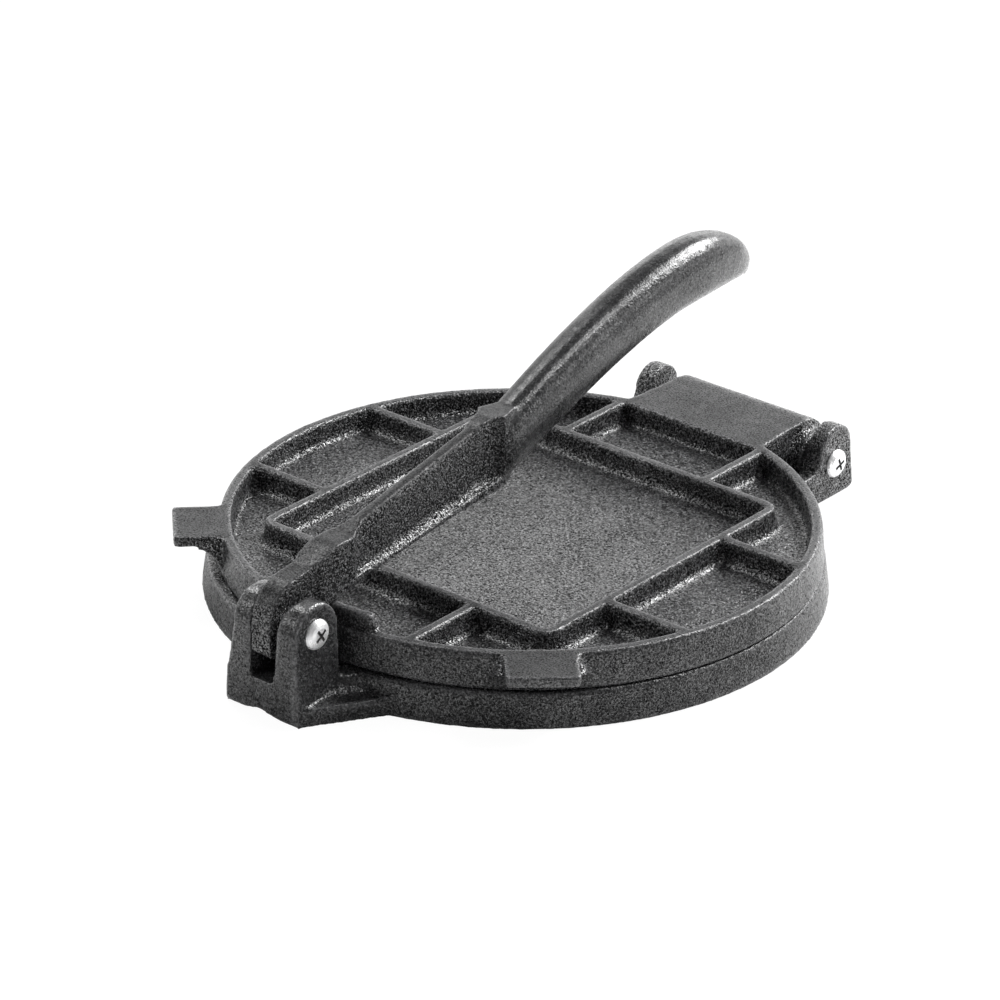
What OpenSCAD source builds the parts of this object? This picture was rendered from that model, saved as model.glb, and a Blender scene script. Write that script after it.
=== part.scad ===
// Cast-iron tortilla press with a front pressing lever and a rear hinge.
// X is to the right, Y to the back, Z up. The origin is the centre of the base on the table.

/* [Plates] */
// Radius of the upper plate where it meets the base
plate_r = 126; // [118:1:140]
// Step by which the base's top edge stands out past the upper plate
base_lip = 2.6; // [1.5:0.1:5]
// Height of the base's working face above the table
base_h = 15.6; // [13:0.2:20]
// Thickness of the base under its working face
base_skin = 6.5; // [5:0.5:8]
// Thickness of the base's outer wall at the table
base_wall = 6.5; // [5:0.5:10]
// Thickness of the upper plate between its ribs
plate_skin = 6.3; // [5:0.1:9]
// Slope of the cast walls, in degrees
draft = 5; // [2:0.5:8]
// Rounding of the plates' outer edges
edge_r = 1.6; // [0.8:0.1:2.2]

/* [Ribs] */
// Height of the upper plate's ribs and rim above its floor
rib_h = 9.6; // [7:0.2:12]
// Width of a rib at its top
rib_w = 4.6; // [3.5:0.1:7]
// Width of the rim at its top
rim_w = 4.8; // [4:0.1:8]
// Rounding where ribs and rim meet the floor
foot_r = 3; // [2:0.25:3.5]
// Small bevel along the ribs' top edges
rib_bevel = 0.5; // [0.3:0.1:0.8]
// Half side of the square rib frame, to the ribs' centre line
frame_half = 74.9; // [68:0.1:79]
// Radius of the frame's corners, to the ribs' centre line
frame_corner_r = 5.5; // [5:0.5:12]
// Distance of the short outer ribs from the centre lines
stub_off = 37.7; // [25:0.5:50]

/* [Lifting tabs] */
// Direction of each tab from the front, in degrees
tab_turn = 44; // [38:0.5:50]
// How far both tabs are turned clockwise, seen from above, in degrees
tab_skew = 1; // [0:0.5:2]
// Width of a tab
tab_w = 29.5; // [22:0.5:36]
// Reach of a tab past the upper plate's radius
tab_reach = 18; // [12:1:24]
// Thickness of a tab
tab_t = 4.5; // [3.8:0.1:6]
// Rounding at the root of a tab
tab_root_r = 1.5; // [1:0.1:3]
// Extra half width of a tab's gusset at its foot
tab_flare = 11.5; // [6:0.5:14]

/* [Pressing pad] */
// Height of the pad above the rim, where the lever bears
pad_h = 6.2; // [4:0.2:8]
// Half length of the pad's flat top
pad_half = 21.5; // [18:1:28]
// Width of the pad across the rim
pad_w = 4.4; // [3:0.2:5]
// Slope of the pad's ends outward, over its height
pad_run = 3; // [1.5:0.5:6]
// Step of the pad's front face behind the rim's outer edge
pad_step = 2.6; // [1.5:0.1:3]

/* [Front clevis] */
// Distance of the lever's pivot in front of the upper plate
pivot_out = 18.5; // [17:0.5:24]
// Height of the lever's pivot above the base's working face
pivot_rise = 21.9; // [20:0.1:25]
// Radius of the ears round the pivot
ear_r = 12.7; // [11:0.1:14]
// Half width of the clevis across the ears
clevis_half = 18.3; // [17:0.1:24]
// Extra half width of the clevis at the table
clevis_flare = 1.2; // [0.4:0.1:3]
// How much slimmer the left ear is at the pivot than at its foot
ear_lean = 4.4; // [0:0.2:5]
// Width of the slot for the lever at its floor
slot_w = 12.2; // [10:0.1:14]
// Offset of the slot's floor to the right of the lever's plane
slot_shift = 0.8; // [0:0.1:0.8]
// How much the right ear's inner face leans away from the lever, up to its rounding
slot_lean = 2.2; // [0:0.1:3]
// Height of the slot's floor above the base's working face
slot_floor = 0.9; // [0.5:0.1:2]
// Rounding of the ears' upper edges across the slot
ear_edge_r = 4; // [2:0.1:4.5]
// Upright corner rounding of the clevis
clevis_corner_r = 3.5; // [2:0.1:4.5]
// Half width of the arch under the clevis
arch_half = 9; // [6:0.5:12]
// Height of the arch under the clevis
arch_h = 3; // [2:0.2:4]
// Width of the web on each side of the clevis, where it meets the base
web_reach = 19; // [14:0.5:24]
// Height of the web's outer edge
web_h = 8; // [5:0.5:10]

/* [Rear hinge] */
// Distance of the hinge axis behind the upper plate
hinge_out = 25.3; // [24.5:0.1:28]
// Height of the hinge axis above the base's working face
hinge_rise = 0.6; // [0.5:0.1:2]
// Offset of the rear hinge, and of the upper plate with it, to the right of the lever's plane
hinge_off = 2.4; // [0:0.2:3]
// Distance from the hinge's middle to each ear's inner face
hinge_half = 43.5; // [42:0.5:50]
// Thickness of a rear ear
hinge_ear_t = 8; // [6:0.5:10]
// Radius of a rear ear's rounded top
hinge_ear_r = 11; // [9:0.2:13]
// Height of a rear ear's top above the table
hinge_ear_h = 33.4; // [31:0.2:36]
// Sideways play of the knuckle between the ears, each way
side_play = 2.6; // [1:0.1:4]
// Half width of the lug where it leaves the rim
lug_half = 37; // [35:0.5:38]
// Half width of the lug over the knuckle
waist_half = 35; // [32:0.5:36]
// Thickness of the lug's shell
lug_shell = 5.5; // [5:0.5:7]

/* [Lever] */
// Sideways gap between the lever's eye and each ear
lever_gap = 1.1; // [1:0.1:1.8]
// Gap between the lever and the pressing pad at rest
seat_gap = 0.25; // [0.2:0.05:0.5]
// Reach of the eye in front of the pivot
eye_front = 12.2; // [11:0.1:12.4]
// Drop of the eye below the pivot
eye_drop = 12; // [8:0.2:12.4]
// Rise of the eye's top above the pivot
eye_top = 18.4; // [16:0.2:20]
// Rise of the first boss's top above the pivot
boss_top = 24.7; // [23:0.1:27]
// Width of the arm at the first boss
boss_w = 12.8; // [12.4:0.1:15]
// Width of the arm at the second boss, where the grip starts
neck_w = 14.6; // [13.8:0.1:15.6]
// Distance from the pivot to the start of the channels
channel_start = 40; // [38:0.5:46]
// Distance from the pivot to where the channels start to run out
channel_end = 114; // [100:0.5:116]
// Length over which the channels curve out to the neck's sides
run_out = 13; // [9:0.5:15]
// Rise of the arm's crest at the end of the channels
crest_end = 45.3; // [44:0.1:46]
// Rise of the arm's lower edge at the end of the channels
under_end = 13.4; // [11:0.1:14.5]
// Thickness of the arm's lower flange
flange_t = 3.2; // [2.5:0.1:4.5]
// Thickness of the web at its top
web_top = 6.2; // [5.4:0.1:7]
// Thickness of the web at its foot
web_foot = 7; // [6.4:0.1:7.6]
// Rounding between the web and the flange
web_fillet = 3.25; // [2.5:0.25:3.5]
// Rounding of the crest's shoulders
crest_round = 2.2; // [1:0.1:2.5]

/* [Grip] */
// Distance from the pivot to the lever's tip
grip_reach = 296.8; // [280:0.1:310]
// Rise of the tip above the pivot
grip_tip_rise = 54.1; // [48:0.1:62]
// Half height of the grip where it leaves the arm
neck_half_h = 13; // [12:0.1:13.6]
// Half width of the grip where it leaves the arm
neck_half_w = 8.7; // [8:0.1:9.5]
// Half height of the grip at its thickest
belly_half_h = 14.6; // [13:0.1:16]
// Half width of the grip at its thickest
belly_half_w = 12; // [10:0.1:14]
// Length of the grip's rounded end
tip_len = 45; // [30:1:52]

/* [Screws] */
// Diameter of the screws' shanks
screw_d = 6; // [5:0.5:8]
// Running clearance round a screw, on the radius
screw_fit = 0.06; // [0.02:0.01:0.1]
// Diameter of the screws' heads
head_d = 12.6; // [12:0.1:14]
// Height of the screws' heads
head_h = 2.8; // [2.4:0.1:3.6]
// Width of a nut across its flats
nut_af = 10; // [9.5:0.5:13]
// Height of a nut
nut_h = 5; // [4:0.2:6.5]
// Length of a hinge screw past its nut, and of the lever screw short of the left ear's face
screw_past = 1.5; // [0.5:0.5:3]
// Gap between a nut or a head and the wall that turns beside it
nut_gap = 0.3; // [0.2:0.05:0.5]

/* [Hidden] */
$fn = 96;
eps = 0.01;
big = 400;
arc_steps = 5;
iron = [0.09, 0.09, 0.095];
zinc = [0.78, 0.79, 0.8];

wall_foot_r = 0.8 * foot_r;
foot_round = 3;
plate_top = base_h + plate_skin + rib_h;
plate_floor = base_h + plate_skin;
plate_h = plate_top - base_h;
plate_top_r = plate_r - plate_h * tan(draft);
base_top_r = plate_r + base_lip;
base_r = base_top_r + base_h * tan(draft) * 1.4;
pivot_y = -(plate_r + pivot_out);
pivot_z = base_h + pivot_rise;
join_h = base_h - edge_r / 2;
clevis_front = pivot_y - ear_r;
clevis_back = pivot_y + ear_r;
ear_top = pivot_z + ear_r;
hinge_y = plate_r + hinge_out;
hinge_z = base_h + hinge_rise;
knuckle_r = plate_top - hinge_z;
knuckle_half = hinge_half - side_play;
lug_under = base_h + 1.2;
bore_r = screw_d / 2 + screw_fit;
pad_front_r = plate_top_r - pad_step;
eye_w = slot_w - 2 * lever_gap;
seat = plate_top + pad_h + seat_gap - pivot_z;
lever_screw_len = 2 * clevis_half - ear_lean - screw_past;
hollow_half = waist_half - lug_shell;
hinge_screw_len = hinge_half + hinge_ear_t - hollow_half + nut_gap + nut_h + screw_past;

// Points of an arc round c from angle a0 to a1
function arc(c, r, a0, a1, n = arc_steps) =
    [for (i = [0:n]) c + r * [cos(a0 + (a1 - a0) * i / n), sin(a0 + (a1 - a0) * i / n)]];

// Point on a cubic curve
function bezier(p, t) = pow(1 - t, 3) * p[0] + 3 * t * pow(1 - t, 2) * p[1]
    + 3 * t * t * (1 - t) * p[2] + t * t * t * p[3];

// Right side of a drafted rib's section: bevelled top, sloped side, rounded foot, root below the floor
function rib_side(w, h) = let (
        foot_x = w / 2 + (h - foot_r) * tan(draft) + foot_r / cos(draft)
    ) concat(
        [[w / 2 - rib_bevel, h], [w / 2, h - rib_bevel]],
        arc([foot_x, foot_r], foot_r, 180 + draft, 270),
        [[foot_x, -2]]);

// Section of a rib whose floor is at zero
module rib_section(h) {
    right = rib_side(rib_w, h);
    left = [for (i = [len(right) - 1:-1:0]) [-right[i][0], right[i][1]]];
    polygon(concat(right, left));
}

// Straight rib along Y, between two distances
module rib(from, to, h) {
    translate([0, to, 0]) rotate([90, 0, 0]) linear_extrude(to - from) rib_section(h);
}

// Square frame with rounded corners, and two short ribs from each of its sides
module rib_grid(h, reach) {
    side = frame_half - frame_corner_r;
    for (q = [0:3]) rotate([0, 0, 90 * q]) {
        translate([frame_half, 0, 0]) rib(-side, side, h);
        translate([side, side, 0]) rotate_extrude(angle = 90)
            translate([frame_corner_r, 0]) intersection() {
                rib_section(h);
                translate([-frame_corner_r + eps, -big / 2]) square(big);
            }
        for (s = [-1, 1]) translate([s * stub_off, 0, 0]) rib(frame_half, reach, h);
    }
}

// Half section of the base: working plate, drafted wall and hollow underside
module base_disc() {
    under = base_h - base_skin;
    wall_in = base_r - base_wall;
    rotate_extrude() polygon(concat(
        [[0, under], [wall_in - under * tan(draft) - wall_foot_r, under]],
        arc([wall_in - under * tan(draft) - wall_foot_r, under - wall_foot_r], wall_foot_r, 90, draft, 4),
        [[wall_in, 0], [base_r - 0.8, 0], [base_r, 0.8]],
        arc([base_top_r - edge_r, base_h - edge_r], edge_r, 0, 90),
        [[0, base_h]]));
}

// Cross of ribs under the base, down to the table
module base_cross() {
    under = base_h - base_skin;
    reach = base_r - base_wall / 2;
    for (q = [0, 1]) rotate([0, 0, 90 * q])
        translate([0, 0, under]) mirror([0, 0, 1]) rib(-reach, reach, under);
}

// Side outline of the clevis, in Y and Z
module clevis_side() {
    polygon(concat(
        [[clevis_back - 1, 0], [clevis_front - 0.6 + 2.5, 0], [clevis_front - 0.6, 2.5]],
        arc([pivot_y, pivot_z], ear_r, 180, 0, 16),
        [[clevis_back + 1.2, join_h], [-base_top_r + base_wall, join_h], [-base_top_r + base_wall, 0]]));
}

// Front outline of the clevis, in X and Z, with its slot
module clevis_front_view() {
    round_out = 2.2;
    slim = clevis_half - ear_lean;
    foot = clevis_half + clevis_flare;
    right = slot_shift + slot_w / 2;
    left = slot_shift - slot_w / 2;
    polygon(concat(
        arc([foot - foot_round, foot_round], foot_round, 270, 360),
        [[clevis_half, base_h + 6]],
        arc([clevis_half - round_out, ear_top - round_out], round_out, 0, 90),
        arc([right + slot_lean + ear_edge_r, ear_top - ear_edge_r], ear_edge_r, 90, 180),
        [[right, base_h + slot_floor], [left, base_h + slot_floor]],
        arc([left - ear_edge_r, ear_top - ear_edge_r], ear_edge_r, 0, 90),
        arc([-slim + round_out, ear_top - round_out], round_out, 90, 180),
        [[-slim, pivot_z]],
        arc([-foot + foot_round, foot_round], foot_round, 180, 270)));
}

// Plan outline of the clevis with rounded front corners
module clevis_plan() {
    half = clevis_half + clevis_flare;
    front = clevis_front - 0.6;
    polygon(concat(
        [[-half, 0]],
        arc([-half + clevis_corner_r, front + clevis_corner_r], clevis_corner_r, 180, 270),
        arc([half - clevis_corner_r, front + clevis_corner_r], clevis_corner_r, 270, 360),
        [[half, 0]]));
}

module clevis() {
    difference() {
        intersection() {
            translate([-big / 2, 0, 0]) rotate([90, 0, 90]) linear_extrude(big) clevis_side();
            rotate([90, 0, 0]) linear_extrude(big) clevis_front_view();
            translate([0, 0, -1]) linear_extrude(big) clevis_plan();
        }
        // arch under the block
        arch_r = (arch_half * arch_half + arch_h * arch_h) / (2 * arch_h);
        translate([0, clevis_front + ear_r, arch_h - arch_r]) rotate([90, 0, 0])
            cylinder(r = arch_r, h = big);
    }
}

// Web beside the clevis: a wedge in plan with a hollow top that sweeps up to the ear and the wall
module clevis_web() {
    half = clevis_half + clevis_flare;
    front = clevis_front + clevis_corner_r;
    end_x = half + web_reach;
    end_y = -sqrt(base_r * base_r - end_x * end_x) + 1;
    run = atan2(end_y - front, end_x - half);
    cove_r = base_h - web_h + 3;
    difference() {
        linear_extrude(join_h + 0.3) polygon([[half - 4, front], [half - 0.6, front - 2], [half, front],
            [end_x, end_y], [end_x - 4, end_y + 6], [half - 4, -base_r + 8]]);
        translate([half, front, web_h + cove_r]) rotate([0, 0, run]) rotate([0, 90, 0])
            translate([0, 1, -big / 2]) cylinder(r = cove_r, h = big);
        translate([half, front, web_h]) rotate([0, 0, run]) translate([-big / 2, -big + 1, 0])
            cube([big, big, big]);
    }
}

// Rear ear in side view, in Y and Z
module hinge_ear_side() {
    root = sqrt(pow(base_r - base_wall / 2, 2) - pow(hinge_half, 2));
    top_y = hinge_y + 0.8;
    blend = 7;
    polygon(concat(
        [[root - 2, 0]],
        arc([top_y + hinge_ear_r - 0.2, 3], 3, 270, 355),
        arc([top_y, hinge_ear_h - hinge_ear_r], hinge_ear_r, -5, 190, 16),
        arc([top_y - hinge_ear_r - blend - 0.6, join_h + blend], blend, 0, -90),
        [[root - 2, join_h]]));
}

module hinge_ears() {
    for (s = [0, 1]) mirror([s, 0, 0]) translate([hinge_half, 0, 0])
        rotate([90, 0, 90]) linear_extrude(hinge_ear_t) hinge_ear_side();
}

module cross_bore(y, z) {
    translate([-big / 2, y, z]) rotate([0, 90, 0]) cylinder(r = bore_r, h = big);
}

module base_plate() {
    color(iron) difference() {
        union() {
            base_disc();
            base_cross();
            clevis();
            clevis_web();
            mirror([1, 0, 0]) clevis_web();
            translate([hinge_off, 0, 0]) hinge_ears();
        }
        cross_bore(pivot_y, pivot_z);
        cross_bore(hinge_y, hinge_z);
    }
}

// Half section of the upper plate: working face, floor and rim
module plate_disc() {
    rim_in = plate_top_r - rim_w;
    foot_c = rim_in - (rib_h - wall_foot_r) * tan(draft) - wall_foot_r / cos(draft);
    translate([0, 0, base_h]) rotate_extrude() polygon(concat(
        [[0, 0]],
        arc([plate_r - edge_r, edge_r], edge_r, 270, 360),
        [[plate_top_r, plate_h - 0.6], [plate_top_r - 0.6, plate_h],
            [rim_in + rib_bevel, plate_h], [rim_in, plate_h - rib_bevel]],
        arc([foot_c, plate_skin + wall_foot_r], wall_foot_r, -draft, -90, 4),
        [[0, plate_skin]]));
}

module plate_ribs() {
    reach = plate_top_r - 1;
    intersection() {
        translate([0, 0, plate_floor]) rib_grid(rib_h, reach);
        translate([0, 0, base_h + 1]) cylinder(r = plate_top_r - rim_w / 2, h = plate_h);
    }
}

// Pad on the front of the rim, under the lever, thickening the rim down to the floor
module pad() {
    foot = pad_half + pad_run;
    intersection() {
        translate([0, 0, plate_floor - 1]) difference() {
            cylinder(r = pad_front_r, h = rib_h + pad_h + 1);
            translate([0, 0, -1]) cylinder(r = pad_front_r - pad_w, h = rib_h + pad_h + 3);
        }
        rotate([90, 0, 0]) linear_extrude(big) polygon([[-foot, plate_floor - 1],
            [-foot, plate_top], [-pad_half, plate_top + pad_h], [pad_half, plate_top + pad_h],
            [foot, plate_top], [foot, plate_floor - 1]]);
    }
}

// Lifting tab along -Y, flush with the rim's top, on a gusset that sweeps down the wall
module tab() {
    end = -(plate_r + tab_reach);
    root = -sqrt(plate_top_r * plate_top_r - tab_w * tab_w / 4);
    corner = 2;
    translate([0, 0, plate_top - tab_t]) linear_extrude(tab_t) difference() {
        polygon(concat(
            arc([-tab_w / 2 + corner, end + corner], corner, 180, 270),
            arc([tab_w / 2 - corner, end + corner], corner, 270, 360),
            [[tab_w / 2, root - tab_root_r], [tab_w / 2 + tab_root_r, root],
                [tab_w / 2 + tab_root_r, root + 4], [-tab_w / 2 - tab_root_r, root + 4],
                [-tab_w / 2 - tab_root_r, root], [-tab_w / 2, root - tab_root_r]]));
        for (s = [-1, 1]) translate([s * (tab_w / 2 + tab_root_r), root - tab_root_r])
            circle(r = tab_root_r);
    }
}

// Gusset under a tab: a hollow curve from the tab's underside down the wall, wider towards its foot
module tab_gusset() {
    low = edge_r + 0.6;
    high = plate_h - tab_t;
    r = high - low;
    deep = plate_r - plate_h * tan(draft) - 3;
    intersection() {
        translate([0, 0, base_h]) rotate_extrude() polygon(concat(
            [[deep, low], [plate_r, low]],
            arc([plate_r + r + 0.6, low], r, 180, 90, 8),
            [[plate_top_r + 1.5, plate_h - 0.8], [deep, plate_h - 0.8]]));
        rotate([90, 0, 0]) linear_extrude(big) polygon([
            [-tab_w / 2 - tab_flare, base_h], [-tab_w / 2, plate_top],
            [tab_w / 2, plate_top], [tab_w / 2 + tab_flare, base_h]]);
    }
}

// Lug and knuckle behind the plate: plan outline and side outline intersected, hollow below
module lug() {
    boss_r = knuckle_r - 1;
    boss_len = knuckle_half - waist_half;
    difference() {
        union() {
            intersection() {
                linear_extrude(plate_top) polygon([[lug_half, plate_r - 12], [waist_half, hinge_y - 10],
                    [waist_half, big], [-waist_half, big], [-waist_half, hinge_y - 10],
                    [-lug_half, plate_r - 12]]);
                translate([-big / 2, 0, 0]) rotate([90, 0, 90]) linear_extrude(big) union() {
                    translate([hinge_y, hinge_z]) circle(r = knuckle_r);
                    translate([plate_r - 14, lug_under])
                        square([hinge_out + 14, plate_top - lug_under]);
                }
            }
            // round bosses that face the ears, with a hollow foot on the lug's sides
            for (s = [-1, 1]) translate([0, hinge_y, hinge_z]) rotate([0, s * 90, 0])
                rotate_extrude() polygon(concat(
                    [[0, waist_half - 2], [boss_r, waist_half - 2]],
                    arc([boss_r, waist_half + boss_len * 0.6], boss_len * 0.6, 270, 180),
                    [[boss_r - boss_len * 0.6, knuckle_half], [0, knuckle_half]]));
        }
        translate([-hollow_half, hinge_y, hinge_z]) rotate([0, 90, 0])
            cylinder(r = knuckle_r - lug_shell, h = 2 * hollow_half);
        translate([-hollow_half, hinge_y - knuckle_r + lug_shell, -1])
            cube([2 * hollow_half, 2 * (knuckle_r - lug_shell), hinge_z + 1]);
        translate([-hollow_half, plate_r + 3, lug_under - 1])
            cube([2 * hollow_half, hinge_out - knuckle_r - 3 + lug_shell / 2,
                plate_top - lug_shell - lug_under + 1]);
    }
}

module top_plate() {
    color(iron) translate([hinge_off, 0, 0]) difference() {
        union() {
            plate_disc();
            plate_ribs();
            pad();
            for (s = [-1, 1]) rotate([0, 0, s * tab_turn - tab_skew]) {
                tab();
                tab_gusset();
            }
            lug();
        }
        cross_bore(hinge_y, hinge_z);
    }
}

// Side outline of the lever's eye and arm, in Y and Z from the pivot
module arm_side() {
    eye_r = 17;
    under_start = seat + 0.1;
    mid = (channel_start + channel_end) / 2;
    polygon(concat(
        [[-eye_front, -eye_drop + 2], [-eye_front + 2, -eye_drop], [eye_drop + 1, -eye_drop],
            [17.5, -4.6], [21.4, seat], [28, seat],
            [channel_start + 2, under_start + 3.4], [mid - 14, (under_start + under_end) / 2 + 0.4],
            [channel_end - 14, under_end - 1.5], [channel_end + 14.5, under_end + 0.4],
            [channel_end + 18.5, under_end + 1.2], [channel_end + 22, under_end + 4.2],
            [channel_end + 24, under_end + 12], [channel_end + 25, crest_end],
            [channel_end + 8, crest_end], [channel_end + 4, crest_end - 0.9],
            [channel_end + 1, crest_end - 2.3]],
        [[channel_start + 5, boss_top + 3.4], [channel_start + 1, boss_top + 1.4],
            [channel_start - 3, boss_top + 0.1], [channel_start - 13, boss_top],
            [channel_start - 17, boss_top - 0.6], [channel_start - 23, eye_top + 3],
            [channel_start - 29, eye_top + 0.8]],
        arc([-eye_front + eye_r, eye_top - eye_r], eye_r, 93, 180, 8)));
}

// Plan of the lever: eye, first boss, widening arm and neck, in X and Y from the pivot
module arm_plan() {
    half_eye = eye_w / 2;
    right = [[half_eye, -eye_front - 1], [half_eye, ear_r + 1.2], [boss_w / 2, ear_r + 4.2],
        [boss_w / 2, channel_start], [neck_w / 2, channel_end + 6],
        [neck_w / 2, channel_end + run_out], [neck_w / 2 - 1.2, channel_end + 17],
        [neck_w / 4, channel_end + 26]];
    polygon(concat(right, [for (i = [len(right) - 1:-1:0]) [-right[i][0], right[i][1]]]));
}

// Section of one channel, measured out from the arm's middle and up from its flange
module channel_section() {
    polygon(concat(
        [[20, 0], [web_foot / 2 + web_fillet, 0]],
        arc([web_foot / 2 + web_fillet, web_fillet], web_fillet, 270, 180),
        [[web_top / 2, 34], [web_top / 2, 50], [20, 50]]));
}

// Section that rounds one shoulder of the crest, measured out from the arm's middle and up from the crest
module shoulder_section() {
    polygon(concat(
        arc([web_top / 2 - crest_round, -crest_round], crest_round, 0, 90),
        [[web_top / 2 - crest_round, 5], [20, 5], [20, -crest_round]]));
}

// Channel cut into one side of the arm, whose ends curve out to the side
module channel() {
    near_run = 3.6;
    rise = atan2(under_end - seat - 2.6, channel_end - channel_start);
    crest_rise = atan2(crest_end - 2.3 - boss_top - 3.4, channel_end - channel_start - 4);
    intersection() {
        union() {
            translate([0, channel_start, seat + 2.6 + flange_t]) rotate([rise, 0, 0])
                translate([0, channel_end, 0]) rotate([90, 0, 0])
                    linear_extrude(2 * channel_end) channel_section();
            translate([0, channel_start + 5, boss_top + 3.4]) rotate([crest_rise, 0, 0])
                translate([0, channel_end, 0]) rotate([90, 0, 0])
                    linear_extrude(2 * channel_end) shoulder_section();
        }
        linear_extrude(big) polygon(concat(
            [[0, channel_start + near_run]],
            [for (a = [180:15:270]) [neck_w / 2 + 0.4 + (neck_w / 2 - web_top / 2) * cos(a),
                channel_start + near_run + 2 * near_run * sin(a)]],
            [[neck_w, channel_start - near_run], [neck_w, channel_end + run_out]],
            [for (a = [90:10:180]) [neck_w / 2 + 0.4 + (neck_w / 2 - web_top / 2) * cos(a),
                channel_end + run_out * sin(a)]],
            [[0, channel_end]]));
    }
}

// Grip lofted through rounded sections along a curve that rises and hooks down at its tip
module grip() {
    steps = 34;
    around = 26;
    tip_blunt = 1.8;
    start = [channel_end + 10.9, (crest_end + under_end) / 2 - 3.9];
    tip = [grip_reach, grip_tip_rise];
    path = [start, start + 10.5 * [cos(23), sin(23)], tip + 53.5 * [-cos(48.7), sin(48.7)], tip];
    centre = [for (i = [0:steps]) bezier(path, ease(i / steps))];
    slope = [for (i = [0:steps]) let (a = centre[max(i - 1, 0)], b = centre[min(i + 1, steps)])
        atan2(b[1] - a[1], b[0] - a[0])];
    rings = [for (i = [0:steps]) let (
            tilt = slope[i] * min(1, i / (0.15 * steps)),
            swell = sin(90 * min(1, i / (0.95 * steps))),
            near = 1 - min(1, (centre[i][0] - start[0] + 2.5) / 10),
            x = min(0.97, max(0, 1 - norm(centre[i] - tip) / tip_len)),
            end = pow(1 - pow(x, tip_blunt), 1 / tip_blunt),
            half_h = (neck_half_h + (belly_half_h - neck_half_h) * swell) * end,
            half_w = (neck_half_w + (belly_half_w - neck_half_w) * swell) * end
                * sqrt(1 - near * near))
        [for (k = [0:around - 1]) let (
                a = 360 * k / around,
                px = half_w * sign(cos(a)) * pow(abs(cos(a)), 0.86),
                pn = half_h * sign(sin(a)) * pow(abs(sin(a)), 0.86))
            [px, centre[i][0] - pn * sin(tilt), centre[i][1] + pn * cos(tilt)]]];
    points = [for (ring = rings) for (p = ring) p];
    faces = concat(
        [for (i = [0:steps - 1]) for (k = [0:around - 1]) let (n = (k + 1) % around)
            [i * around + k, i * around + n, (i + 1) * around + k]],
        [for (i = [0:steps - 1]) for (k = [0:around - 1]) let (n = (k + 1) % around)
            [(i + 1) * around + k, i * around + n, (i + 1) * around + n]],
        [for (k = [1:around - 2]) [0, k + 1, k]],
        [for (k = [1:around - 2]) [steps * around, steps * around + k, steps * around + k + 1]]);
    polyhedron(points, faces);
}

// Even steps that crowd together towards the tip
function ease(t) = 1 - pow(1 - t, 1.35);

module lever() {
    color(iron) translate([0, pivot_y, pivot_z]) difference() {
        union() {
            difference() {
                intersection() {
                    translate([-big / 2, 0, 0]) rotate([90, 0, 90]) linear_extrude(big) arm_side();
                    translate([0, 0, -big / 4]) linear_extrude(big) arm_plan();
                }
                channel();
                mirror([1, 0, 0]) channel();
            }
            grip();
        }
        translate([-big / 2, 0, 0]) rotate([0, 90, 0]) cylinder(r = bore_r, h = big);
    }
}

// Screw along -X from the underside of its head, with a low domed head and a cross recess
module screw(length) {
    rotate([0, -90, 0]) difference() {
        rotate_extrude() polygon(concat(
            [[0, -head_h], [head_d / 4, -head_h + 0.15], [head_d / 2 - 1.6, -head_h + 0.7],
                [head_d / 2 - 0.4, -head_h + 1.5], [head_d / 2, -head_h + 2.3], [head_d / 2, 0],
                [screw_d / 2, 0], [screw_d / 2, length - 0.8], [screw_d / 2 - 0.8, length],
                [0, length]]));
        for (a = [0, 90]) rotate([0, 0, a]) translate([0, 0, -head_h]) rotate([90, 0, 0])
            linear_extrude(1.3, center = true)
                polygon([[-3.2, -1], [-3.2, 0.2], [-0.9, 2.2], [0.9, 2.2], [3.2, 0.2], [3.2, -1]]);
    }
}

// Hexagon nut along -X from its bearing face
module nut() {
    rotate([0, -90, 0]) difference() {
        intersection() {
            cylinder(r = nut_af / sqrt(3), h = nut_h, $fn = 6);
            rotate_extrude() polygon([[0, 0], [nut_af / 2 + 0.1, 0], [nut_af / sqrt(3) + 0.1, 0.8],
                [nut_af / sqrt(3) + 0.1, nut_h - 0.8], [nut_af / 2 + 0.1, nut_h], [0, nut_h]]);
        }
        translate([0, 0, -1]) cylinder(r = screw_d / 2, h = nut_h + 2);
    }
}

module lever_screw() {
    color(zinc) translate([clevis_half, pivot_y, pivot_z]) rotate([35, 0, 0]) screw(lever_screw_len);
}

module hinge_screw_right() {
    color(zinc) translate([hinge_off + hinge_half + hinge_ear_t, hinge_y, hinge_z]) rotate([20, 0, 0])
        screw(hinge_screw_len);
}

module hinge_screw_left() {
    color(zinc) translate([hinge_off - hinge_half - hinge_ear_t, hinge_y, hinge_z]) rotate([-15, 0, 0])
        mirror([1, 0, 0]) screw(hinge_screw_len);
}

module hinge_nut_right() {
    color(zinc) translate([hinge_off + hollow_half - nut_gap, hinge_y, hinge_z])
        rotate([8, 0, 0]) nut();
}

module hinge_nut_left() {
    color(zinc) translate([hinge_off - hollow_half + nut_gap, hinge_y, hinge_z])
        rotate([-22, 0, 0]) mirror([1, 0, 0]) nut();
}

base_plate();
top_plate();
lever();
lever_screw();
hinge_screw_right();
hinge_screw_left();
hinge_nut_right();
hinge_nut_left();
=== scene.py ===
import math

import bmesh
import bpy
import numpy as np
from mathutils import Matrix, Vector


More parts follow.
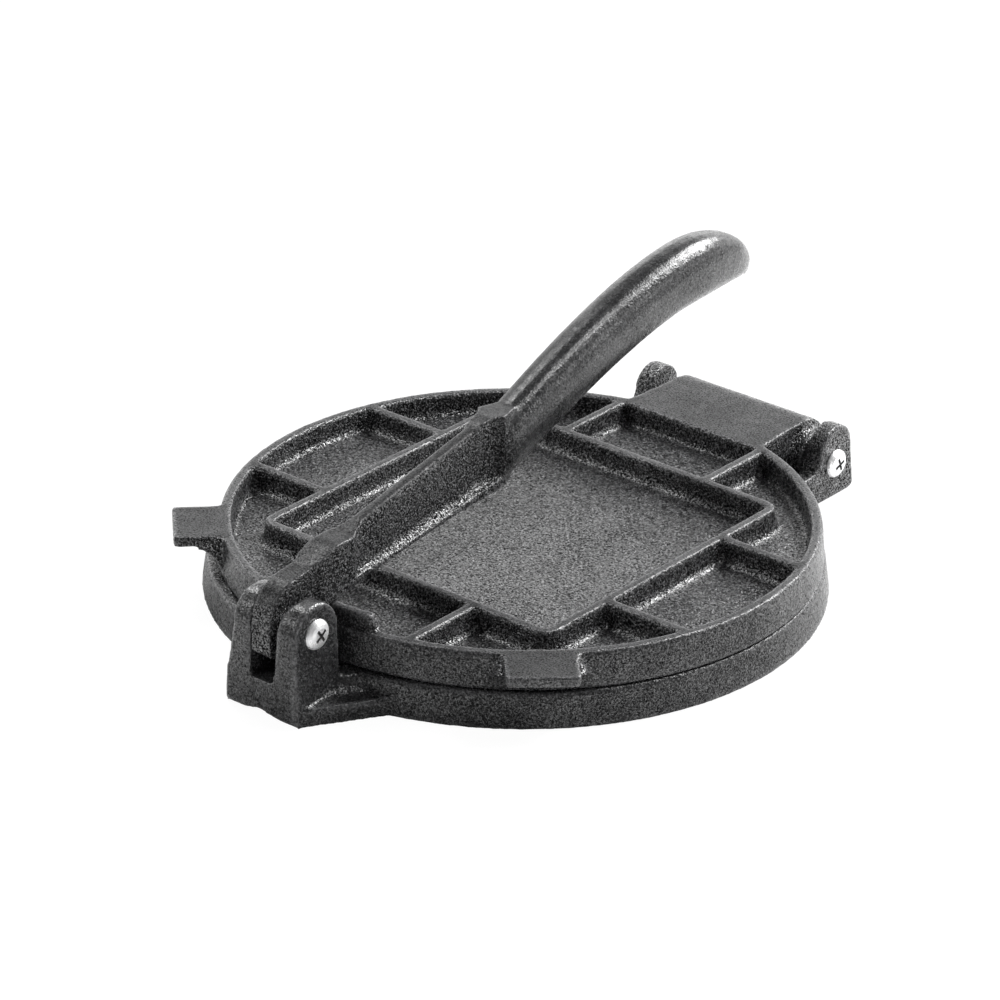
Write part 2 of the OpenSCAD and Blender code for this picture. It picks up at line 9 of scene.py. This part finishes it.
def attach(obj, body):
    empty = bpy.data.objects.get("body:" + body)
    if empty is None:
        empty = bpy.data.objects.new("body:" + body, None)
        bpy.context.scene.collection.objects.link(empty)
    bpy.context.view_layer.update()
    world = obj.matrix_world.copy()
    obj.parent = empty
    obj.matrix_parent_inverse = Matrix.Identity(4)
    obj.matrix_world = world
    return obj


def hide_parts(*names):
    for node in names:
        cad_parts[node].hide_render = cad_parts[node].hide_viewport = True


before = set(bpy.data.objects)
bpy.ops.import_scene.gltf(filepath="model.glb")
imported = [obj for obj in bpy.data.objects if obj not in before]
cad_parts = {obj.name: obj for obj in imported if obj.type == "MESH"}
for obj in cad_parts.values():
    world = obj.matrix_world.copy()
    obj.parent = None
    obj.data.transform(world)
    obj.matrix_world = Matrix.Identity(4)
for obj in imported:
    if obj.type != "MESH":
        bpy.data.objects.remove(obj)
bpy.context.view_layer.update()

MM = 0.001
scene = bpy.context.scene

# ---------------------------------------------------------------- camera
# A long lens on the press's right front corner, looking down.
AZIMUTH, ELEVATION, ROLL = 39.37, 26.09, 0.92  # degrees
DISTANCE = 1.82091
AIM = Vector((0, 0, 0.020))
AIM_RIGHT, AIM_UP = -0.0068, 0.01481  # from AIM to the view's centre, in the picture's plane
LENS, SENSOR = 157.96, 36.0  # mm
CLIP_END = 20


def make_camera():
    az, el, roll = (math.radians(v) for v in (AZIMUTH, ELEVATION, ROLL))
    back = Vector((math.sin(az) * math.cos(el), -math.cos(az) * math.cos(el), math.sin(el)))
    level = Vector((0, 0, 1)).cross(back).normalized()
    upright = back.cross(level)
    right = math.cos(roll) * level + math.sin(roll) * upright
    up = -math.sin(roll) * level + math.cos(roll) * upright
    place = AIM + right * AIM_RIGHT + up * AIM_UP + back * DISTANCE
    data = bpy.data.cameras.new("camera")
    data.lens, data.sensor_width = LENS, SENSOR
    data.clip_end = CLIP_END
    camera = bpy.data.objects.new("camera", data)
    scene.collection.objects.link(camera)
    turn = Matrix((right, up, back)).transposed().to_4x4()
    camera.matrix_world = Matrix.Translation(place) @ turn
    scene.camera = camera


# ---------------------------------------------------------------- node helpers
class Nodes:
    """Short calls for building the node tree of a new material or world."""

    def __init__(self, owner, output="ShaderNodeOutputMaterial"):
        self.owner = owner
        owner.use_nodes = True
        self.tree = owner.node_tree
        self.tree.nodes.clear()
        self.out = self.add(output)

    def add(self, kind, **settings):
        node = self.tree.nodes.new(kind)
        for key, value in settings.items():
            setattr(node, key, value)
        return node

    def set(self, socket, value):
        """Links an output to the socket, or writes a number or colour on it."""
        if hasattr(value, "is_output"):
            self.tree.links.new(value, socket)
        elif socket.type == "RGBA":
            socket.default_value = (*value, 1)
        else:
            socket.default_value = value

    def math(self, op, a, b, clamp=False):
        node = self.add("ShaderNodeMath", operation=op, use_clamp=clamp)
        self.set(node.inputs[0], a)
        self.set(node.inputs[1], b)
        return node.outputs[0]

    def mix(self, share, a, b):
        """Colour a, going over to b as the share rises from 0 to 1."""
        node = self.add("ShaderNodeMix", data_type="RGBA")
        self.set(node.inputs["Factor"], share)
        self.set(node.inputs[6], a)
        self.set(node.inputs[7], b)
        return node.outputs[2]

    def mix_shaders(self, share, a, b):
        node = self.add("ShaderNodeMixShader")
        self.set(node.inputs["Fac"], share)
        self.set(node.inputs[1], a)
        self.set(node.inputs[2], b)
        return node.outputs[0]

    def spread(self, value, low, high, to_low=0.0, to_high=1.0):
        """The value's place between low and high, as a number from to_low to to_high."""
        node = self.add("ShaderNodeMapRange")
        for socket, v in zip(node.inputs, (value, low, high, to_low, to_high)):
            self.set(socket, v)
        return node.outputs[0]

    def place(self, stretch=(1, 1, 1)):
        where = self.add("ShaderNodeTexCoord").outputs["Object"]
        node = self.add("ShaderNodeMapping")
        self.set(node.inputs["Vector"], where)
        self.set(node.inputs["Scale"], stretch)
        return node.outputs[0]

    def noise(self, where, size, detail, rough):
        """Noise whose lumps are about size metres across."""
        node = self.add("ShaderNodeTexNoise")
        self.set(node.inputs["Vector"], where)
        self.set(node.inputs["Scale"], 1 / size)
        self.set(node.inputs["Detail"], detail)
        self.set(node.inputs["Roughness"], rough)
        return node.outputs["Fac"]

    def attribute(self, name):
        return self.add("ShaderNodeAttribute", attribute_name=name).outputs["Fac"]

    def bump(self, height, depth, strength, under=None):
        node = self.add("ShaderNodeBump")
        self.set(node.inputs["Distance"], depth)
        self.set(node.inputs["Strength"], strength)
        self.set(node.inputs["Height"], height)
        if under is not None:
            self.set(node.inputs["Normal"], under)
        return node.outputs[0]

    def principled(self, **values):
        """A Principled shader; a value's name is its socket's, with _ for each space."""
        node = self.add("ShaderNodeBsdfPrincipled")
        for key, value in values.items():
            self.set(node.inputs[key.replace("_", " ")], value)
        return self.finish(node.outputs[0])

    def finish(self, shader):
        self.tree.links.new(shader, self.out.inputs["Surface"])
        return self.owner


# ---------------------------------------------------------------- materials
# Colours of the iron: its skin; painted shade for the hollows of the grain; painted glints for its
# high points; and worn edges, lightened partly by wear and partly as a painted highlight.
IRON_PIT_SHADE = (0.0025, 0.0025, 0.0027)
IRON_SKIN = (0.014, 0.0141, 0.0146)
IRON_PAINTED_GLINT = (0.14, 0.141, 0.144)
IRON_WEAR_AND_HIGHLIGHT = (0.07, 0.07, 0.072)

GRAIN = 0.85 * MM  # across one pebble of the sand's print
SPECK, LUMP = 0.62 * GRAIN, 3.2 * GRAIN
CLOUD = 24 * MM  # across the slow changes of tone
LUMP_DEPTH, PEBBLE_DEPTH, SPECK_DEPTH = 0.30 * MM, 0.55 * MM, 0.20 * MM
PEBBLE_SHARE, SPECK_SHARE = 0.55, 0.45  # of the grit
GRIT_MIDDLE = 0.5

STEEP_RANGE = (0.05, 0.6)  # from a level face to a wall
LEVEL_GRAIN, FINE_GRAIN, DRESSED_GRAIN = 0.66, 0.24, 0.16  # shares of a wall's grain
PIT_SHADE_RANGE, PAINTED_GLINT_RANGE = (0.51, 0.42), (0.53, 0.64)  # grit where the painted shade of the hollows and the painted glints start and are full
WEAR_HIGHLIGHT_RANGE, WEAR_HIGHLIGHT_SHARES = (0.35, 0.6), (0.3, 1.0)  # edges lighten most where pebbles stand high, partly as wear and partly as a painted highlight

CLOUD_RANGE = (0.35, 0.65)
DARK_TONE, LIGHT_TONE = 0.80, 1.20  # of the skin's colour
CLOUD_GLOSS = (0.72, 1.14)
GLOSS, DRESSED_GLOSS = 0.48, 0.22
GRIT_GLOSS = (0.8, 6.2)  # how strongly the grit breaks up the gloss, from smooth to coarse faces
LUMP_RANGE, ROUGHNESS = (0.3, 0.7), (0.22, 0.32)
DRESSED_ROUGHER = 0.14


def cast_iron(name):
    """Seasoned sand-cast iron: pebbly black walls, with painted shade in the grain's hollows and
    painted glints on its high points; finer floors, smoother dressed faces, and edges lightened
    partly by wear and partly as a painted highlight."""
    n = Nodes(bpy.data.materials.new(name))
    where = n.place()
    pebble = n.noise(where, GRAIN, 1.0, 0.5)
    speck = n.noise(where, SPECK, 0.0, 0.5)
    lumps = n.noise(where, LUMP, 2.0, 0.5)
    cloud = n.noise(where, CLOUD, 3.0, 0.55)
    steep, edge, dressed, fine = (n.attribute(k) for k in ("steep", "edge", "dressed", "fine"))
    coarse = n.math("MULTIPLY", n.spread(steep, *STEEP_RANGE, LEVEL_GRAIN, 1.0),
                    n.spread(fine, 0.0, 1.0, 1.0, FINE_GRAIN))
    coarse = n.math("MULTIPLY", coarse, n.spread(dressed, 0.0, 1.0, 1.0, DRESSED_GRAIN))

    grit = n.math("ADD", n.math("MULTIPLY", pebble, PEBBLE_SHARE),
                  n.math("MULTIPLY", speck, SPECK_SHARE))
    # Painted shade darkens the grain's hollows and painted glints light its high points, following
    # the same noise that raises the bumps.
    pit_shade = n.math("MULTIPLY", n.spread(grit, *PIT_SHADE_RANGE), coarse, clamp=True)
    painted_glint = n.math("MULTIPLY", n.spread(grit, *PAINTED_GLINT_RANGE), coarse, clamp=True)
    colour = n.mix(n.spread(cloud, *CLOUD_RANGE),
                   tuple(DARK_TONE * v for v in IRON_SKIN),
                   tuple(LIGHT_TONE * v for v in IRON_SKIN))
    colour = n.mix(pit_shade, colour, IRON_PIT_SHADE)
    colour = n.mix(painted_glint, colour, IRON_PAINTED_GLINT)
    # Edges stand lighter, partly from wear and partly as a painted highlight.
    wear_and_highlight = n.math("MULTIPLY", edge, n.spread(pebble, *WEAR_HIGHLIGHT_RANGE, *WEAR_HIGHLIGHT_SHARES), clamp=True)
    colour = n.mix(wear_and_highlight, colour, IRON_WEAR_AND_HIGHLIGHT)

    rough = n.spread(lumps, *LUMP_RANGE, *ROUGHNESS)
    rough = n.math("ADD", rough, n.math("MULTIPLY", dressed, DRESSED_ROUGHER))

    normal = n.bump(lumps, LUMP_DEPTH, coarse)
    normal = n.bump(pebble, PEBBLE_DEPTH, coarse, normal)
    normal = n.bump(speck, SPECK_DEPTH, coarse, normal)

    gloss = n.math("MULTIPLY", n.math("SUBTRACT", grit, GRIT_MIDDLE),
                   n.spread(coarse, 0.0, 1.0, *GRIT_GLOSS))
    gloss = n.math("ADD", gloss, n.spread(dressed, 0.0, 1.0, GLOSS, DRESSED_GLOSS))
    gloss = n.math("MULTIPLY", gloss, n.spread(cloud, *CLOUD_RANGE, *CLOUD_GLOSS), clamp=True)
    return n.principled(Base_Color=colour, Roughness=rough, Normal=normal, Specular_IOR_Level=gloss)


STEEL_BRIGHT, STEEL_DULL = (0.86, 0.86, 0.86), (0.62, 0.62, 0.63)
STEEL_TONE_RANGE = (0.35, 0.7)  # from clean steel to a dull spot
STEEL_ROUGH_RANGE, STEEL_ROUGHNESS = (0.3, 0.75), (0.22, 0.40)
STEEL_METALLIC = 0.6
TURNED_STRETCH, TURNED = (6, 1, 1), 0.9 * MM  # marks of the turning, narrow along the screw's axis
DULL_SPOT, STEEL_PIT = 2.6 * MM, 0.35 * MM
STEEL_DEPTH, STEEL_STRENGTH = 0.03 * MM, 0.6


def zinc_steel(name):
    """Bright zinc-plated screw steel with fine turning marks and a few dull spots."""
    n = Nodes(bpy.data.materials.new(name))
    where = n.place()
    turned = n.noise(n.place(TURNED_STRETCH), TURNED, 2.0, 0.5)
    dull = n.noise(where, DULL_SPOT, 3.0, 0.6)
    pits = n.noise(where, STEEL_PIT, 2.0, 0.6)
    colour = n.mix(n.spread(dull, *STEEL_TONE_RANGE), STEEL_BRIGHT, STEEL_DULL)
    rough = n.spread(dull, *STEEL_ROUGH_RANGE, *STEEL_ROUGHNESS)
    normal = n.bump(turned, STEEL_DEPTH, STEEL_STRENGTH)
    normal = n.bump(pits, STEEL_DEPTH, STEEL_STRENGTH, normal)
    return n.principled(Base_Color=colour, Roughness=rough, Normal=normal, Metallic=STEEL_METALLIC)


# Painted shade for inside the screws' cross recesses: a dark, spotted grey.
RECESS_SHADE_DARK, RECESS_SHADE_LIGHT = (0.03, 0.03, 0.03), (0.12, 0.12, 0.12)
RECESS_SHADE_SPOT, RECESS_SHADE_RANGE = 0.5 * MM, (0.35, 0.65)
RECESS_SHADE_ROUGHNESS, RECESS_SHADE_METALLIC = 0.45, 0.3


def recess_shade(name):
    """Painted shade: a dull, spotted grey inside a screw's cross recess, standing in for the shade
    there.
    """
    n = Nodes(bpy.data.materials.new(name))
    spots = n.noise(n.place(), RECESS_SHADE_SPOT, 2.0, 0.6)
    colour = n.mix(n.spread(spots, *RECESS_SHADE_RANGE), RECESS_SHADE_DARK, RECESS_SHADE_LIGHT)
    return n.principled(Base_Color=colour, Roughness=RECESS_SHADE_ROUGHNESS, Metallic=RECESS_SHADE_METALLIC)


# ---------------------------------------------------------------- which faces are how smooth
# Each of these takes the vertices and normals of a casting, and gives one number per vertex.
PLATE_WALL_RADIUS = 117 * MM  # the plates' outer walls lie outside it
OUTWARD_RANGE = (1 / 3, 2 / 3)  # the normal's part away from the plates' middle
CLEVIS_BACK = -128 * MM
WALL_FINE, CLEVIS_FINE, ARM_FINE = 0.7, 0.8, 0.10
NECK_RANGE = (-22 * MM, -10 * MM)  # where the arm's coarse skin goes over to the grip's fine one

PLATE_TOP_HEIGHT = 30.5 * MM
LEVEL_RANGE = (0.93, 0.98)  # the normal's upward part on a face that counts as level
CREST_HEIGHT, CREST_RISE = 76 * MM, 0.25  # the line above which the lever's crest is dressed
CREST_LEVEL_RANGE = (0.35, 0.55)
CREST_END_RANGE = (20 * MM, 70 * MM)  # where the crest runs out on the grip
GRIP_START = -8 * MM
GRIP_LEFT_RANGE = (-2 / 15, 0.2)  # the normal's part along X, from the left side to the right

STEEP_GAIN = 1.3
EDGE_RANGE = (0.06 * MM, 0.26 * MM)  # how far an edge stands out from the softened shape
SHAPE_ROUNDS, MARK_ROUNDS, TOP_ROUNDS = 4, 3, 2  # of softening the shape and the marks


def ramp(values, low, high):
    return np.clip((values - low) / (high - low), 0, 1)


def outer_walls(points, normals):
    """Finely cast: the outward walls of the round plates, and the clevis in front."""
    radius = np.hypot(points[:, 0], points[:, 1])
    outward = (normals[:, :2] * points[:, :2]).sum(axis=1) / np.maximum(radius, MM)
    wall = WALL_FINE * ramp(outward, *OUTWARD_RANGE) * (radius > PLATE_WALL_RADIUS)
    return np.maximum(wall, CLEVIS_FINE * (points[:, 1] < CLEVIS_BACK))


def grip_part(points, normals):
    """Finely cast: the grip past the neck, and the arm a little."""
    return ARM_FINE + (1 - ARM_FINE) * ramp(points[:, 1], *NECK_RANGE)


def plate_tops(points, normals):
    """Dressed: the upper plate's level tops, which are ribs, rim, tabs and lug."""
    return ramp(normals[:, 2], *LEVEL_RANGE) * (points[:, 2] > PLATE_TOP_HEIGHT)


def lever_tops(points, normals):
    """Dressed: the crest of the lever's eye, arm and boss, which runs out along the left of
    the grip."""
    along = points[:, 1]
    crest = points[:, 2] > CREST_HEIGHT + CREST_RISE * along
    left = np.where(along < GRIP_START, 1.0, 1 - ramp(normals[:, 0], *GRIP_LEFT_RANGE))
    level = ramp(normals[:, 2], *CREST_LEVEL_RANGE)
    return level * crest * (1 - ramp(along, *CREST_END_RANGE)) * left


def no_tops(points, normals):
    """Dressed: nothing that shows."""
    return np.zeros(len(points))


# ---------------------------------------------------------------- castings
def read_vectors(rows, key):
    """One x, y, z row for each vertex or normal."""
    values = np.empty(len(rows) * 3)
    rows.foreach_get(key, values)
    return values.reshape(-1, 3)


def neighbour_mean(values, edges, count, rounds):
    """Each vertex's value as the mean of its neighbours' along the edges, some rounds over."""
    for _ in range(rounds):
        flat = values.reshape(len(values), -1)
        total = np.zeros(flat.shape)
        for column in range(flat.shape[1]):
            total[:, column] = np.bincount(edges[:, 0], flat[edges[:, 1], column], len(values))
            total[:, column] += np.bincount(edges[:, 1], flat[edges[:, 0], column], len(values))
        values = (total / count[:, None]).reshape(values.shape)
    return values


def mark_surface(mesh, dressed, fine):
    """Writes four marks on each vertex: dressed for flat tops ground smooth, steep, edge, and
    fine for finer casting."""
    points = read_vectors(mesh.vertices, "co")
    normals = read_vectors(mesh.vertex_normals, "vector")
    edges = np.empty(len(mesh.edges) * 2, dtype=np.int64)
    mesh.edges.foreach_get("vertices", edges)
    edges = edges.reshape(-1, 2)
    count = np.maximum(np.bincount(edges.ravel(), minlength=len(points)), 1)

    soft = neighbour_mean(points, edges, count, SHAPE_ROUNDS)
    out = neighbour_mean(((points - soft) * normals).sum(axis=1), edges, count, MARK_ROUNDS)
    steep = neighbour_mean(1 - np.abs(normals[:, 2]), edges, count, MARK_ROUNDS)
    tops = neighbour_mean(dressed(points, normals), edges, count, TOP_ROUNDS)
    for name, values in (
        ("dressed", np.clip(tops, 0, 1)),
        ("steep", np.clip(steep * STEEP_GAIN, 0, 1)),
        ("edge", ramp(out, *EDGE_RANGE)),
        ("fine", fine(points, normals)),
    ):
        layer = mesh.attributes.new(name, "FLOAT", "POINT")
        layer.data.foreach_set("value", values.astype(np.float32))


def new_piece(name, mesh):
    piece = bpy.data.objects.new(name, mesh)
    scene.collection.objects.link(piece)
    return piece


WELD = 1e-6  # vertices closer than this are one
SOFTENING = 0.5
WAVE_WIDTH, WAVE_DETAIL, WAVE_LEVEL = 4.5 * MM, 2, 0.62


def casting(node, body, slot, voxel, soften, wave_height, dressed, fine):
    """A node's shape as sand-cast iron: edges and corners rounded by the mould, and faces that
    are never quite flat."""
    piece = new_piece(node + "_casting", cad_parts[node].data.copy())
    weld = bmesh.new()
    weld.from_mesh(piece.data)
    bmesh.ops.remove_doubles(weld, verts=weld.verts, dist=WELD)
    weld.to_mesh(piece.data)
    weld.free()

    skin = piece.modifiers.new("skin", "REMESH")
    skin.mode, skin.voxel_size = "VOXEL", voxel
    smooth = piece.modifiers.new("smooth", "SMOOTH")
    smooth.factor, smooth.iterations = SOFTENING, soften
    wave = bpy.data.textures.new(node + "_wave", "CLOUDS")
    wave.noise_scale, wave.noise_depth = WAVE_WIDTH, WAVE_DETAIL
    swell = piece.modifiers.new("swell", "DISPLACE")
    swell.texture, swell.texture_coords = wave, "LOCAL"
    swell.strength, swell.mid_level = wave_height, WAVE_LEVEL

    solved = piece.evaluated_get(bpy.context.evaluated_depsgraph_get())
    shaped = bpy.data.meshes.new_from_object(solved)
    piece.modifiers.clear()
    piece.data = shaped
    shaped.name = node + "_casting"
    shaped.shade_smooth()
    mark_surface(shaped, dressed, fine)
    shaped.materials.clear()
    shaped.materials.append(cast_iron(slot))
    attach(piece, body)
    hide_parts(node)


# ---------------------------------------------------------------- screws
RECESS_DEPTHS, RECESS_RADIUS = (0.3 * MM, 2.6 * MM), 3.3 * MM


def screw(node, body, bright, dark, head):
    """A screw with painted shade in its cross recess; head is +1 or -1, the side along X that its
    head is on."""
    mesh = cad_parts[node].data.copy()
    mesh.name = node + "_piece"
    piece = new_piece(node + "_piece", mesh)
    points = read_vectors(mesh.vertices, "co")
    axis = (points.max(axis=0) + points.min(axis=0)) / 2
    top = (points[:, 0] * head).max()
    mesh.materials.clear()
    mesh.materials.append(bright)
    mesh.materials.append(dark)
    for face in mesh.polygons:
        depth = top - face.center.x * head
        radius = math.hypot(face.center.y - axis[1], face.center.z - axis[2])
        inside = RECESS_DEPTHS[0] < depth < RECESS_DEPTHS[1] and radius < RECESS_RADIUS
        face.material_index = int(inside)
    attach(piece, body)
    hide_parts(node)


# ---------------------------------------------------------------- ground and backdrop
FLOOR_HALF = 6.0
FLOOR_GREY = (0.66, 0.66, 0.66)
FLOOR_GLOW, FLOOR_GLOW_SHARE = 1.06, 0.90  # what the camera sees; the rest takes the shadow
WHITE = (1, 1, 1)

# The backdrop that lights the press: bright low behind it, fading upwards and towards the camera.
SWEEP = Vector((-0.63, 0.77, 0)).normalized()  # towards its bright end
ROOM_DIM, BACKDROP = 0.015, 2.5
SWEEP_RANGE = (-0.25, 0.75)
FADE_RANGE = (0.33, 0.68)  # sines of the heights between which it fades out


def make_floor():
    n = Nodes(bpy.data.materials.new("floor_white"))
    camera_ray = n.add("ShaderNodeLightPath").outputs["Is Camera Ray"]
    matt = n.add("ShaderNodeBsdfDiffuse")
    n.set(matt.inputs["Color"], FLOOR_GREY)
    white = n.add("ShaderNodeEmission")
    n.set(white.inputs["Strength"], FLOOR_GLOW)
    share = n.math("MULTIPLY", camera_ray, FLOOR_GLOW_SHARE)
    floor_white = n.finish(n.mix_shaders(share, matt.outputs[0], white.outputs[0]))

    half = FLOOR_HALF
    corners = [(-half, -half, 0), (half, -half, 0), (half, half, 0), (-half, half, 0)]
    mesh = bpy.data.meshes.new("floor")
    mesh.from_pydata(corners, [], [(0, 1, 2, 3)])
    mesh.materials.append(floor_white)
    floor = new_piece("floor", mesh)


def make_backdrop():
    """Plain white to the camera, and the backdrop's sweep of light to everything else."""
    world = bpy.data.worlds.new("studio")
    scene.world = world
    n = Nodes(world, "ShaderNodeOutputWorld")
    where = n.add("ShaderNodeTexCoord").outputs["Generated"]
    toward = n.add("ShaderNodeVectorMath", operation="DOT_PRODUCT")
    n.set(toward.inputs[0], where)
    n.set(toward.inputs[1], SWEEP)
    apart = n.add("ShaderNodeSeparateXYZ")
    n.set(apart.inputs[0], where)
    side = n.spread(toward.outputs["Value"], *SWEEP_RANGE, 0.0, BACKDROP)
    height = n.spread(apart.outputs["Z"], *FADE_RANGE, 1.0, 0.0)
    light = n.add("ShaderNodeBackground")
    n.set(light.inputs["Color"], WHITE)
    n.set(light.inputs["Strength"], n.math("ADD", n.math("MULTIPLY", side, height), ROOM_DIM))
    seen = n.add("ShaderNodeBackground")
    n.set(seen.inputs["Color"], WHITE)
    camera_ray = n.add("ShaderNodeLightPath").outputs["Is Camera Ray"]
    n.finish(n.mix_shaders(camera_ray, light.outputs[0], seen.outputs[0]))


def softbox(name, place, aim, width, height, watts):
    data = bpy.data.lights.new(name, "AREA")
    data.shape, data.size, data.size_y = "RECTANGLE", width, height
    data.energy = watts
    lamp = bpy.data.objects.new(name, data)
    scene.collection.objects.link(lamp)
    lamp.location = place
    lamp.rotation_euler = (Vector(aim) - Vector(place)).to_track_quat("-Z", "Y").to_euler()


# ---------------------------------------------------------------- the press
SOFTBOXES = (  # name, place, aim, width, height, watts
    ("back_right", (0.32, 1.00, 1.02), (0, 0, 0.03), 0.85, 0.50, 44),
    ("overhead_left", (-0.85, 0.12, 1.22), (0, 0, 0.03), 0.45, 0.50, 11),
    ("overhead_right", (0.56, 0.30, 1.08), (0, 0, 0.06), 0.30, 0.30, 5),
    ("right_side", (1.15, 0.70, 0.45), (0, 0, 0.04), 0.35, 0.40, 2.5),
    ("front_left", (-0.75, -1.10, 0.85), (0, 0, 0.03), 0.60, 0.60, 7.5),
    ("front_right", (0.85, -0.95, 0.75), (0, 0, 0.03), 0.60, 0.60, 1.8),
)
CASTINGS = (  # node, body, slot, voxel, rounds of softening, wave height, dressed, fine
    ("base_plate", "base", "base_iron", 0.90 * MM, 4, 0.20 * MM, no_tops, outer_walls),
    ("top_plate", "plate", "plate_iron", 0.85 * MM, 7, 0.20 * MM, plate_tops, outer_walls),
    ("lever", "handle", "lever_iron", 0.60 * MM, 6, 0.18 * MM, lever_tops, grip_part),
)
SCREWS = (("lever_screw", 1), ("hinge_screw_right", 1), ("hinge_screw_left", -1))  # node, head
NUTS = ("hinge_nut_right", "hinge_nut_left")

make_camera()
make_floor()
make_backdrop()
for lamp in SOFTBOXES:
    softbox(*lamp)
for part in CASTINGS:
    casting(*part)
steel, shade = zinc_steel("screw_steel"), recess_shade("screw_recess_shade")
for node, head in SCREWS:
    screw(node, "base", steel, shade, head)
for node in NUTS:
    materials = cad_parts[node].data.materials
    materials.clear()
    materials.append(steel)

scene.view_settings.view_transform = "Standard"
